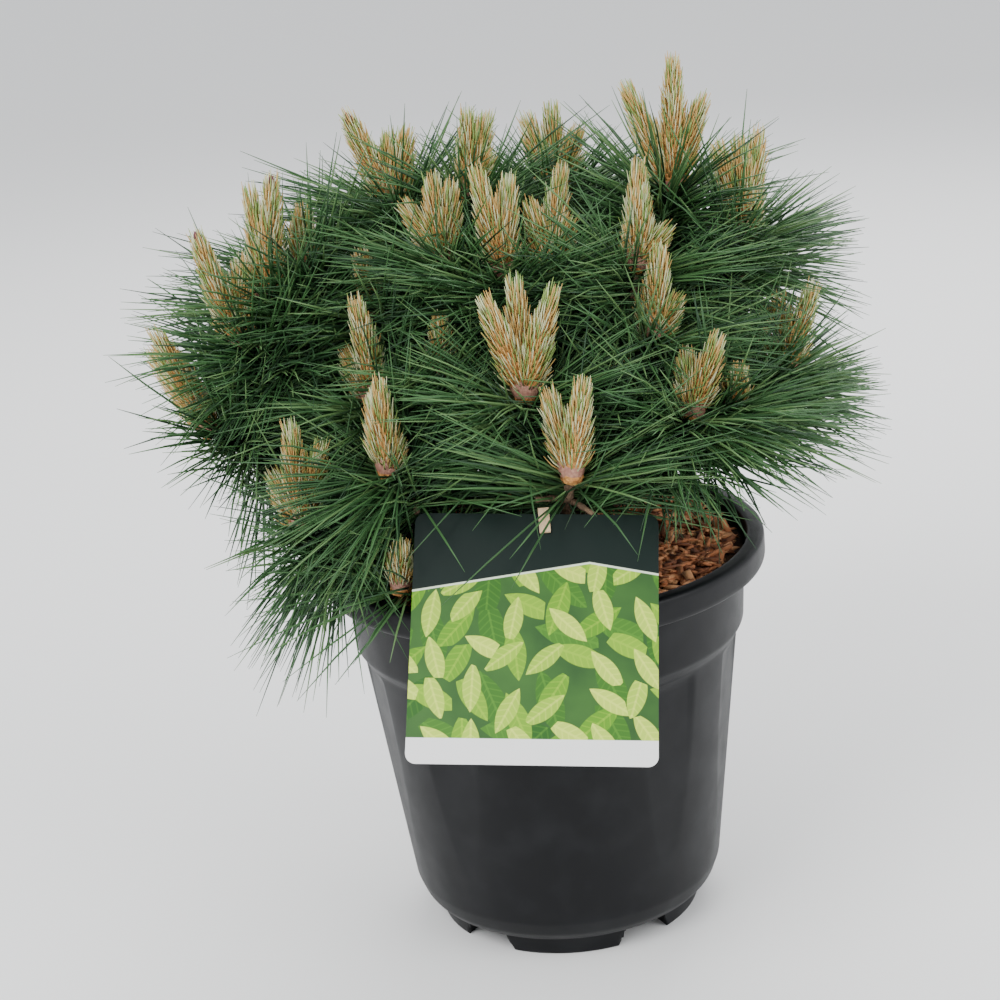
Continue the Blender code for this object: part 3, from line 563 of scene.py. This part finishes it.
def make_limbs(look):
    """The trunk and boughs: the solids' own shape, smoothed, with ridges of bark raised on it.

    A point moves along its normal by 0.6 mm * (1 - |sin(90 z + 3 sin(160 x) + 3 sin(150 y))|).
    """
    names = [name for name in sorted(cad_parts) if name == "trunk" or name.startswith("bough_")]
    shape = bmesh.new()
    for name in names:
        shape.from_mesh(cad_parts[name].data)
    bmesh.ops.remove_doubles(shape, verts=shape.verts, dist=0.00001)
    mesh = bpy.data.meshes.new("limb_guide")
    shape.to_mesh(mesh)
    shape.free()
    guide = bpy.data.objects.new("limb_guide", mesh)
    bpy.context.scene.collection.objects.link(guide)
    smooth = guide.modifiers.new("smooth", "SUBSURF")
    smooth.levels = 2
    smooth.render_levels = 2
    whole = bpy.data.meshes.new_from_object(guide.evaluated_get(bpy.context.evaluated_depsgraph_get()))
    bpy.data.objects.remove(guide)
    whole.calc_loop_triangles()
    points = np.zeros(len(whole.vertices) * 3)
    whole.vertices.foreach_get("co", points)
    normals = np.zeros(len(points))
    whole.vertex_normals.foreach_get("vector", normals)
    triangles = np.zeros(len(whole.loop_triangles) * 3, dtype=np.int32)
    whole.loop_triangles.foreach_get("vertices", triangles)
    points, normals = points.reshape(-1, 3), normals.reshape(-1, 3)
    x, y, z = points.T
    ridge = 1.0 - np.abs(np.sin(90.0 * z + 3.0 * np.sin(160.0 * x) + 3.0 * np.sin(150.0 * y)))
    points = points + normals * (BARK_RELIEF * ridge)[:, None]
    finish = bark_finish("limb_bark", (0.045, 0.028, 0.020), tuple(look.bark_colour))
    piece("limbs", points, triangles.reshape(-1, 3), finish, "bark", names)


def whorl_list():
    """Every whorl of every mass: the mass's name, its place as an array, and its candles."""
    found = []
    for name, whorls in all_masses().items():
        for place, candles in whorls:
            found.append((name, np.array(place), candles))
    return found


def square_to(axis):
    """Two directions square to an axis and to each other."""
    across = np.array(Vector(axis).orthogonal().normalized())
    return across, np.cross(axis, across)


def shoots():
    """Places, directions and shares of the needles: each whorl, and side shoots round its stem.

    A side shoot ends 22 mm down the stem and 20 mm out from it, halfway between axis and outward.
    """
    grown = []
    for number, (name, place, candles) in enumerate(whorl_list()):
        axis = np.array(growth(place))
        across, beyond = square_to(axis)
        grown.append((name, place, axis, 1.0, 1.0))
        for side in range(SIDE_SHOOTS):
            angle = GOLDEN_ANGLE * number + 2.0 * math.pi * side / SIDE_SHOOTS
            out = across * math.cos(angle) + beyond * math.sin(angle)
            end = place - axis * 0.022 + out * 0.020
            grown.append((name, end, unit(axis + 0.9 * out), 0.25, 0.86))
    return grown


def spray(rng, place, axis, count, length, steps):
    """Needles round a shoot, as a path for each at the given steps.

    Needle i leaves the shoot 6 mm + 26 mm * share down from its end, turned by i golden angles and
    tilted from it by 34 + 62 * share degrees, and rises no steeper than a limit eases it to. It
    bends by the square of the way along it.
    """
    across, beyond = square_to(axis)
    index = np.arange(count)
    share = (index + 0.5) / count
    angle = rng.uniform(0.0, 2.0 * np.pi) + GOLDEN_ANGLE * index
    tilt = np.radians(34.0 + 62.0 * share + rng.uniform(-9.0, 9.0, count))
    reach = length * rng.uniform(0.80, 1.06, count)
    out = np.outer(np.cos(angle), across) + np.outer(np.sin(angle), beyond)
    way = np.outer(np.cos(tilt), axis) + out * np.sin(tilt)[:, None]
    way[:, 2] = np.where(way[:, 2] > HIGHEST_WAY, HIGHEST_WAY + 0.25 * (way[:, 2] - HIGHEST_WAY), way[:, 2])
    way = unit(way)
    root = place - np.outer(0.006 + 0.026 * share, axis) + out * 0.0018
    bend = rng.normal(0.0, 0.055, (count, 3))
    bend[:, 2] -= 0.10 * np.hypot(way[:, 0], way[:, 1])
    paths = way[:, None] * steps[:, None] + bend[:, None] * steps[:, None] ** 2
    tip = root[:, 0] + reach * paths[:, -1, 0]
    over = np.where(tip > RIGHT_REACH, RIGHT_REACH - root[:, 0], 1.0)
    over = np.where(tip < LEFT_REACH, LEFT_REACH - root[:, 0], over)
    cut = np.where((tip > RIGHT_REACH) | (tip < LEFT_REACH), over / (tip - root[:, 0]), 1.0)
    reach = reach * np.clip(cut, 0.45, 1.0)
    return root[:, None] + paths * reach[:, None, None], share


def candle_lines():
    """The upper part of every candle, as arrays of starts and of steps to the tips."""
    starts, steps = [], []
    for name, place, candles in whorl_list():
        for index, (lean, length) in enumerate(candles):
            tip = np.array(candle_tip(place, lean, length, index))
            starts.append(place + (tip - place) * 0.15)
            steps.append((tip - place) * 0.85)
    return np.array(starts), np.array(steps)


def near_candles(paths, lines):
    """True for each path that comes nearer to a candle's line than its short needles reach.

    The nearest point of a line is start + t * step, with t the dot product cut to 0 to 1.
    """
    starts, steps = lines
    spots = paths[:, 2:].reshape(-1, 1, 3) - starts
    t = np.clip(np.einsum("nmk,mk->nm", spots, steps) / np.sum(steps * steps, axis=1), 0.0, 1.0)
    far = np.linalg.norm(spots - t[..., None] * steps, axis=-1).min(axis=1)
    return np.any(far.reshape(len(paths), -1) < CANDLE_ROOM, axis=1)


def in_the_way(paths, rng, lines):
    """True for each path that runs through the pot, the soil, a candle or the card, or before it.

    So is one below the crown's lower edge, which rises to both sides as in the photograph. A few
    that hang clear in front of the card or past a candle stay.
    """
    x, y, z = np.moveaxis(paths[:, 2:], -1, 0)
    around = np.hypot(x, y)
    in_pot = (z < POT_HEIGHT + 0.003) & (around < pot_reach(z) + 0.003)
    over_soil = (around < RIM_MOUTH - 0.006) & (z > SOIL_TOP + 0.004)
    centre, right, up, normal = (np.array(v) for v in card_frame())
    offset = paths[:, 2:] - centre
    ahead = offset @ normal
    beside = np.abs(offset @ right) < CARD_WIDTH / 2.0 + 0.003
    level = np.abs(offset @ up) < CARD_HEIGHT / 2.0 + 0.003
    through = np.any(beside & level & (np.abs(ahead) < 0.005), axis=1)
    before = np.any(beside & level & (ahead > 0.0) & (ahead < 0.12), axis=1)
    spared = rng.uniform(0.0, 1.0, len(paths)) < 0.05
    right_edge = (x > 0.045) & (z < 0.270 + 0.22 * (x - 0.05))
    left_edge = (x < -0.19) & (z < 0.285 + 1.4 * (-0.19 - x))
    low = np.any(right_edge | left_edge | (z > CROWN_TOP), axis=1)
    crowded = near_candles(paths, lines) & ~spared
    return np.any(in_pot & ~over_soil, axis=1) | through | low | crowded | (before & ~spared)


def curved(start, control, end, steps):
    """Points start (1 - t)^2 + 2 control t (1 - t) + end t^2 at the given steps."""
    t = steps[:, None]
    return start * (1 - t) ** 2 + control * 2 * t * (1 - t) + end * t ** 2


def make_twigs(look):
    """Twigs from each bough's end to its whorls, and to the side shoots, as tapering curves."""
    steps = np.linspace(0.0, 1.0, 9)
    feet = {}
    for name, whorls in all_masses().items():
        foot, direction = stem_foot(whorls)
        feet[name] = (np.array(foot), np.array(direction))
    paths, radii = [], []
    for name, place, axis, share, length in shoots():
        if share == 1.0:
            foot, direction = feet[name]
            if name == "top_back":
                foot = np.array(TRUNK_TIP) - direction * 0.004
            paths.append(curved(foot, foot + direction * 0.4 * np.linalg.norm(place - foot), place, steps))
            radii.append(np.linspace(0.0037, 0.0030, 9))
            stem = (place, axis)
        else:
            root = stem[0] - stem[1] * 0.036
            paths.append(curved(root, root + stem[1] * 0.010, place, steps))
            radii.append(np.linspace(0.0022, 0.0017, 9))
    radii = np.array(radii) * (1.0 + 0.16 * np.cos(np.pi * np.arange(9)))
    points, triangles = tubes(np.array(paths), radii, 8)
    finish = bark_finish("twig_bark", (0.055, 0.035, 0.022), (0.26, 0.165, 0.095))
    piece("twigs", points, triangles, finish, "bark")


def make_needles(look):
    """Long needles in four tones, three-sided and tapering, in place of the foliage solids."""
    rng = np.random.default_rng(11)
    steps = np.linspace(0.0, 1.0, 13)
    every, shares = [], []
    lines = candle_lines()
    for name, place, axis, part, length in shoots():
        paths, share = spray(rng, place, axis, int(look.needles * part), NEEDLE_LENGTH * length, steps)
        keep = ~in_the_way(paths, rng, lines)
        every.append(paths[keep][:, ::4])
        shares.append(share[keep])
    paths, shares = np.concatenate(every), np.concatenate(shares)
    draw = rng.uniform(0.0, 1.0, len(paths)) - 0.22 * (1.0 - shares)
    taper = look.needle_radius * np.array([0.9, 1.0, 0.85, 0.16])
    middle = np.array(look.needle_colour)
    tones = (
        ("light", middle * (2.6, 1.9, 1.9), -1.0, 0.06),
        ("mid", middle * (1.35, 1.3, 1.2), 0.06, 0.36),
        ("green", middle, 0.36, 0.70),
        ("deep", middle * (0.50, 0.52, 0.62), 0.70, 2.0),
    )
    nodes = [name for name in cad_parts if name.startswith("foliage_")]
    for tone, value, low, high in tones:
        chosen = paths[(draw >= low) & (draw < high)]
        points, triangles = tubes(chosen, np.tile(taper, (len(chosen), 1)), 3)
        finish = Finish("needle_" + tone, tuple(value), 0.42, Specular_IOR_Level=0.35)
        finish.vary("Roughness", finish.noise(90.0) * 0.16 + 0.36)
        piece("needles_" + tone, points, triangles, finish, "foliage", nodes if tone == "green" else ())


def make_candles(look):
    """Young shoots: a scaly core, a pink base, short needles pressed to it, and a few bud tips.

    The core's radius is 6.4 mm * (1 - 0.66 t^2). Short needle i leaves it turned by i golden angles,
    tilted from it by 40 degrees at the foot to 20 at the tip.
    """
    rng = np.random.default_rng(5)
    steps = np.linspace(0.0, 1.0, 10)
    cores, bases, buds, short = [], [], [], []
    for name, place, candles in whorl_list():
        for index, (lean, length) in enumerate(candles):
            tip = np.array(candle_tip(place, lean, length, index))
            long = np.linalg.norm(tip - place)
            axis = (tip - place) / long
            across, beyond = square_to(axis)
            bow = (across * rng.normal(0.0, 0.02) + beyond * rng.normal(0.0, 0.02)) * long
            mid = place + axis * long * 0.45 + bow
            cores.append(curved(place - axis * 0.003, mid, place + axis * long * 0.91, steps))
            foot = place - axis * 0.004
            bases.append(curved(foot, place + axis * 0.005, place + axis * min(0.013, long * 0.3), steps))
            if (name, index) in BUDS:
                buds.append(curved(tip - axis * 0.012, tip - axis * 0.006, tip, steps))
            count = int(look.candle_needles * (0.45 + long / 0.065))
            share = (np.arange(count) + 0.5) / count
            angle = GOLDEN_ANGLE * np.arange(count) + rng.uniform(0.0, 6.28)
            tilt = np.radians(40.0 - 20.0 * share + rng.normal(0.0, 6.0, count))
            out = np.outer(np.cos(angle), across) + np.outer(np.sin(angle), beyond)
            thick = 0.0062 * (1.0 - 0.60 * share ** 2)
            spot = place + np.outer(long * (0.08 + 0.82 * share), axis)
            spot = spot + bow * (2.0 * share * (1.0 - share))[:, None] + out * (thick * 0.9)[:, None]
            reach = (0.0125 - 0.003 * share) * rng.uniform(0.8, 1.15, count) * min(1.0, 0.55 + long / 0.09)
            way = np.outer(np.cos(tilt), axis) + out * np.sin(tilt)[:, None]
            turn = axis * 0.20 - out * 0.20
            t = np.array([0.0, 0.5, 1.0])[:, None]
            short.append(spot[:, None] + reach[:, None, None] * (way[:, None] * t + turn[:, None] * t ** 2))
    radii = 0.0064 * (1.0 - 0.66 * steps ** 2)
    core = Finish("candle_core", (0.46, 0.23, 0.085), 0.75)
    core.vary("Base Color", core.mix(core.cells(430.0), (0.74, 0.37, 0.11), (0.42, 0.150, 0.040)))
    core.bump(core.cells(430.0), 0.0012)
    piece("candle_cores", *tubes(np.array(cores), np.tile(radii, (len(cores), 1)), 8), core, "foliage")
    base = Finish("candle_base", (0.40, 0.19, 0.13), 0.7)
    base.vary("Base Color", base.mix(base.cells(600.0), (0.52, 0.29, 0.20), (0.27, 0.10, 0.08)))
    swell = 0.0070 * np.sin(np.linspace(0.75, 2.3, 10))
    piece("candle_bases", *tubes(np.array(bases), np.tile(swell, (len(bases), 1)), 8), base, "foliage")
    bud = Finish("bud_tip", (0.12, 0.030, 0.038), 0.5)
    bud.bump(bud.cells(900.0), 0.0004)
    round_tip = 0.0028 * np.sin(np.linspace(0.35, 3.0, 10))
    piece("bud_tips", *tubes(np.array(buds), np.tile(round_tip, (len(buds), 1)), 8), bud, "foliage")
    paths = np.concatenate(short)
    draw = rng.uniform(0.0, 1.0, len(paths))
    pale = np.array(look.candle_colour)
    for tone, value, low, high in (
        ("cream", pale, 0.0, 0.32), ("tan", pale * (0.92, 0.56, 0.30), 0.32, 0.70),
        ("green", pale * (0.42, 0.58, 0.26), 0.70, 1.0),
    ):
        chosen = paths[(draw >= low) & (draw < high)]
        points, triangles = tubes(chosen, np.tile([0.00055, 0.00048, 0.00016], (len(chosen), 1)), 3)
        finish = Finish("candle_" + tone, tuple(value), 0.6)
        finish.vary("Roughness", finish.noise(120.0) * 0.2 + 0.5)
        piece("candle_needles_" + tone, points, triangles, finish, "foliage")


def leaf_layer(card, u, v, scale):
    """One pointed leaf in each Voronoi cell, as a mask and a tint.

    Turned into the leaf's own x and y about the cell's point, it covers |y| < w (1 - (x / l)^2),
    and its tint falls along a middle rib and slanting veins, sin(900 (x + 0.7 |y|)).
    """
    spot = card.node("ShaderNodeCombineXYZ", (), {"X": u, "Y": v}).outputs[0]
    settings = {"voronoi_dimensions": "2D"}
    sockets = {"Vector": spot, "Scale": scale, "Randomness": 0.75}
    cell = card.node("ShaderNodeTexVoronoi", settings, sockets)
    ends = {0: spot, 1: cell.outputs["Position"]}
    away = card.node("ShaderNodeVectorMath", {"operation": "SUBTRACT"}, ends)
    parts = card.node("ShaderNodeSeparateXYZ", (), {0: away.outputs[0]})
    shade = Value(card, card.node("ShaderNodeSeparateColor", (), {0: cell.outputs["Color"]}).outputs[0])
    angle = shade * 2.4 + 0.5
    cosine, sine = angle.math("COSINE"), angle.math("SINE")
    dx, dy = Value(card, parts.outputs[0]), Value(card, parts.outputs[1])
    x = dx * cosine + dy * sine
    y = (dy * cosine - dx * sine).math("ABSOLUTE")
    reach = 0.62 / scale
    share = x * (1.0 / reach)
    mask = ((1.0 - share * share) * (0.36 * reach) - y).over(0.0, 0.0004)
    veins = ((x + y * 0.7) * 1500.0).math("SINE").over(0.75, 0.5) * 0.30
    rib = 1.0 - y.over(0.0006, 0.0004)
    return mask, (shade * 0.7 + veins + rib * 0.45).math("MINIMUM", 1.0)


def card_finish(look, centre, right, up):
    """The card's print: a dark field over a sloping edge, leaves in greens, and a white strip.

    u and v run from 0 to 1 along the card's sides. The edge is the lower of two straight lines.
    """
    card = Finish("card_print", look.card_colour, 0.36, Specular_IOR_Level=0.22)

    def side(direction, size):
        sockets = {0: card.place, 1: tuple(direction)}
        dot = card.node("ShaderNodeVectorMath", {"operation": "DOT_PRODUCT"}, sockets)
        return (Value(card, dot.outputs["Value"]) - float(centre @ direction)) * (1.0 / size) + 0.5

    u, v = side(right, CARD_WIDTH), side(up, CARD_HEIGHT)
    edge = (u * 0.1667 + 0.68).math("MINIMUM", u * -0.1607 + 0.9157)
    field = card.mix(card.noise(30.0, 3.0), (0.012, 0.040, 0.014), (0.060, 0.170, 0.030))
    for scale, shift, low, high in (
        (30.0, 0.0, (0.018, 0.085, 0.012), (0.070, 0.21, 0.020)),
        (36.0, 3.7, (0.090, 0.26, 0.012), (0.25, 0.45, 0.022)),
        (42.0, 7.9, (0.26, 0.46, 0.025), (0.58, 0.72, 0.10)),
    ):
        mask, tint = leaf_layer(card, u * CARD_WIDTH + shift, v * CARD_HEIGHT + shift, scale)
        field = card.mix(mask, field, card.mix(tint, low, high))
    field = card.mix((v - edge).over(0.0, 0.004), field, tuple(look.card_colour))
    line = 1.0 - (v - edge).math("ABSOLUTE").over(0.004, 0.003)
    field = card.mix(line, field, (0.70, 0.78, 0.60))
    card.vary("Base Color", card.mix(1.0 - v.over(0.10, 0.003), field, (0.80, 0.80, 0.79)))
    return card


def make_card(look):
    """The card, a thin plate with rounded corners, and the wood of its peg.

    A corner's point is the corner's centre + radius * (cos(a), sin(a)), with a over a quarter turn.
    """
    centre, right, up, normal = (np.array(v) for v in card_frame())
    turn = np.radians(np.arange(4)[:, None] * 90.0 + np.linspace(0.0, 90.0, 9)).ravel()
    sx, sy = np.repeat([1, -1, -1, 1], 9), np.repeat([1, 1, -1, -1], 9)
    a = sx * (CARD_WIDTH / 2.0 - CARD_CORNER) + CARD_CORNER * np.cos(turn)
    b = sy * (CARD_HEIGHT / 2.0 - CARD_CORNER) + CARD_CORNER * np.sin(turn)
    rim = centre + np.outer(a, right) + np.outer(b, up)
    half, soft = normal * CARD_THICKNESS / 2.0, normal * CARD_THICKNESS * 0.3
    inset = centre + (rim - centre) * 0.9985
    points = np.concatenate([inset - half, rim - soft, rim + soft, inset + half])
    n = len(rim)
    i = np.arange(n)
    j = (i + 1) % n
    walls = [np.stack([i + r * n, j + r * n, j + r * n + n], -1) for r in range(3)]
    walls += [np.stack([i + r * n, j + r * n + n, i + r * n + n], -1) for r in range(3)]
    k = np.arange(1, n - 1)
    back, front = np.stack([0 * k, k + 1, k], -1), np.stack([0 * k, k, k + 1], -1) + 3 * n
    triangles = np.concatenate(walls + [back, front])
    thing = piece("card", points, triangles, card_finish(look, centre, right, up), "card", ["plant_card"])
    thing.data.shade_flat()
    wood = Finish("peg_wood", (0.66, 0.48, 0.27), 0.65)
    stretch = {0: wood.place, 1: (1.0, 1.0, 0.08)}
    grain = wood.node("ShaderNodeVectorMath", {"operation": "MULTIPLY"}, stretch).outputs[0]
    wood.vary("Base Color", wood.mix(wood.noise(1400.0, 4.0, grain), (0.48, 0.32, 0.16), (0.78, 0.60, 0.38)))
    wood.bump(wood.noise(2200.0, 2.0, grain), 0.0001)
    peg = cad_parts["card_peg"]
    peg.data.materials.clear()
    peg.data.materials.append(wood.material)


def make_stage(look):
    """A pale floor, soft lights, a pale surround and the camera at the photograph's angle."""
    mesh = bpy.data.meshes.new("floor")
    mesh.from_pydata([(-20, -20, 0), (20, -20, 0), (20, 20, 0), (-20, 20, 0)], [], [(0, 1, 2, 3)])
    floor = bpy.data.objects.new("floor", mesh)
    bpy.context.scene.collection.objects.link(floor)
    pale = Finish("pale_floor", look.floor_colour, 0.85)
    pale.vary("Roughness", pale.noise(3.0) * 0.1 + 0.8)
    mesh.materials.append(pale.material)
    for name, place, size, power in (
        ("key_light", (-1.3, -1.7, 2.1), 1.3, 62.0),
        ("fill_light", (1.7, -1.2, 1.3), 1.6, 30.0),
        ("back_light", (0.4, 1.7, 1.9), 1.6, 40.0),
    ):
        light = bpy.data.lights.new(name, "AREA")
        light.size = size
        light.energy = power
        lamp = bpy.data.objects.new(name, light)
        bpy.context.scene.collection.objects.link(lamp)
        lamp.location = place
        lamp.rotation_mode = "QUATERNION"
        lamp.rotation_quaternion = (Vector((0.0, 0.0, 0.3)) - Vector(place)).to_track_quat("-Z", "Y")
    world = bpy.context.scene.world or bpy.data.worlds.new("surround")
    bpy.context.scene.world = world
    world.use_nodes = True
    world.node_tree.nodes["Background"].inputs["Color"].default_value = (0.95, 0.97, 1.0, 1.0)
    world.node_tree.nodes["Background"].inputs["Strength"].default_value = 1.15
    lens = bpy.data.cameras.new("camera")
    lens.lens = CAMERA_LENS
    lens.clip_start = 0.05
    camera = bpy.data.objects.new("camera", lens)
    bpy.context.scene.collection.objects.link(camera)
    camera.matrix_world = Matrix.Translation(CAMERA_PLACE) @ Matrix(CAMERA_AXES).transposed().to_4x4()
    bpy.context.scene.camera = camera


def colour(name, description, value):
    """A colour setting."""
    return FloatVectorProperty(
        name=name, description=description, default=value, subtype="COLOR", size=3, min=0.0, max=1.0
    )


class PineSettings(PropertyGroup):
    """Sizes and colours that a user would change."""

    needles: IntProperty(name="Needles", description="Needles round each whorl", default=400, min=20)
    needle_radius: FloatProperty(
        name="Needle radius", description="Half the thickness of a needle", default=0.0008, unit="LENGTH"
    )
    candle_needles: IntProperty(
        name="Candle needles", description="Short needles on each candle", default=170, min=10
    )
    chips: IntProperty(name="Bark chips", description="Chips on the soil", default=2600, min=10)
    pot_segments: IntProperty(name="Pot segments", description="Divisions round the pot", default=360, min=40)
    pot_colour: colour("Pot", "Colour of the pot's plastic", (0.0030, 0.0034, 0.0044))
    bark_colour: colour("Bark", "Lighter colour of the bark", (0.20, 0.125, 0.085))
    needle_colour: colour("Needles", "Middle tone of the needles", (0.040, 0.105, 0.036))
    candle_colour: colour("Candles", "Colour of the short needles on the candles", (0.60, 0.62, 0.36))
    card_colour: colour("Card", "Dark field of the card", (0.0035, 0.0110, 0.0085))
    floor_colour: colour("Floor", "Colour of the floor", (0.86, 0.86, 0.855))


class PINE_OT_pot(Operator):
    """Turn the pot, with its flutes and feet"""

    bl_idname = "pine.pot"
    bl_label = "Make pot"

    def execute(self, context):
        make_pot(context.scene.pine)
        return {"FINISHED"}


class PINE_OT_soil(Operator):
    """Fill the pot with soil and bark chips"""

    bl_idname = "pine.soil"
    bl_label = "Make soil"

    def execute(self, context):
        make_soil(context.scene.pine)
        return {"FINISHED"}


class PINE_OT_limbs(Operator):
    """Make the trunk and boughs with their bark"""

    bl_idname = "pine.limbs"
    bl_label = "Make limbs"

    def execute(self, context):
        make_limbs(context.scene.pine)
        return {"FINISHED"}


class PINE_OT_twigs(Operator):
    """Grow the twigs from the boughs to the whorls"""

    bl_idname = "pine.twigs"
    bl_label = "Make twigs"

    def execute(self, context):
        make_twigs(context.scene.pine)
        return {"FINISHED"}


class PINE_OT_needles(Operator):
    """Grow the long needles in their tones"""

    bl_idname = "pine.needles"
    bl_label = "Make needles"

    def execute(self, context):
        make_needles(context.scene.pine)
        return {"FINISHED"}


class PINE_OT_candles(Operator):
    """Grow the young candles with their short needles"""

    bl_idname = "pine.candles"
    bl_label = "Make candles"

    def execute(self, context):
        make_candles(context.scene.pine)
        return {"FINISHED"}


class PINE_OT_card(Operator):
    """Make the card with its print, and dress its peg"""

    bl_idname = "pine.card"
    bl_label = "Make card"

    def execute(self, context):
        make_card(context.scene.pine)
        return {"FINISHED"}


class PINE_OT_stage(Operator):
    """Set up the floor, lights and camera"""

    bl_idname = "pine.stage"
    bl_label = "Make stage"

    def execute(self, context):
        make_stage(context.scene.pine)
        return {"FINISHED"}


OPERATORS = (
    PINE_OT_pot,
    PINE_OT_soil,
    PINE_OT_limbs,
    PINE_OT_twigs,
    PINE_OT_needles,
    PINE_OT_candles,
    PINE_OT_card,
    PINE_OT_stage,
)


class PINE_PT_panel(Panel):
    """Settings and steps of the pine"""

    bl_label = "Potted dwarf pine"
    bl_space_type = "VIEW_3D"
    bl_region_type = "UI"
    bl_category = "Pine"

    def draw(self, context):
        for key in PineSettings.__annotations__:
            self.layout.prop(context.scene.pine, key)
        for step in OPERATORS:
            self.layout.operator(step.bl_idname)


CLASSES = (PineSettings, *OPERATORS, PINE_PT_panel)


def register():
    """Add the classes and the scene's settings."""
    for item in CLASSES:
        bpy.utils.register_class(item)
    bpy.types.Scene.pine = PointerProperty(type=PineSettings)


def unregister():
    """Remove the scene's settings and the classes."""
    del bpy.types.Scene.pine
    for item in reversed(CLASSES):
        bpy.utils.unregister_class(item)


def main():
    """Build every piece in order."""
    register()
    for step in OPERATORS:
        group, name = step.bl_idname.split(".")
        getattr(getattr(bpy.ops, group), name)()


if __name__ == "__main__":
    main()
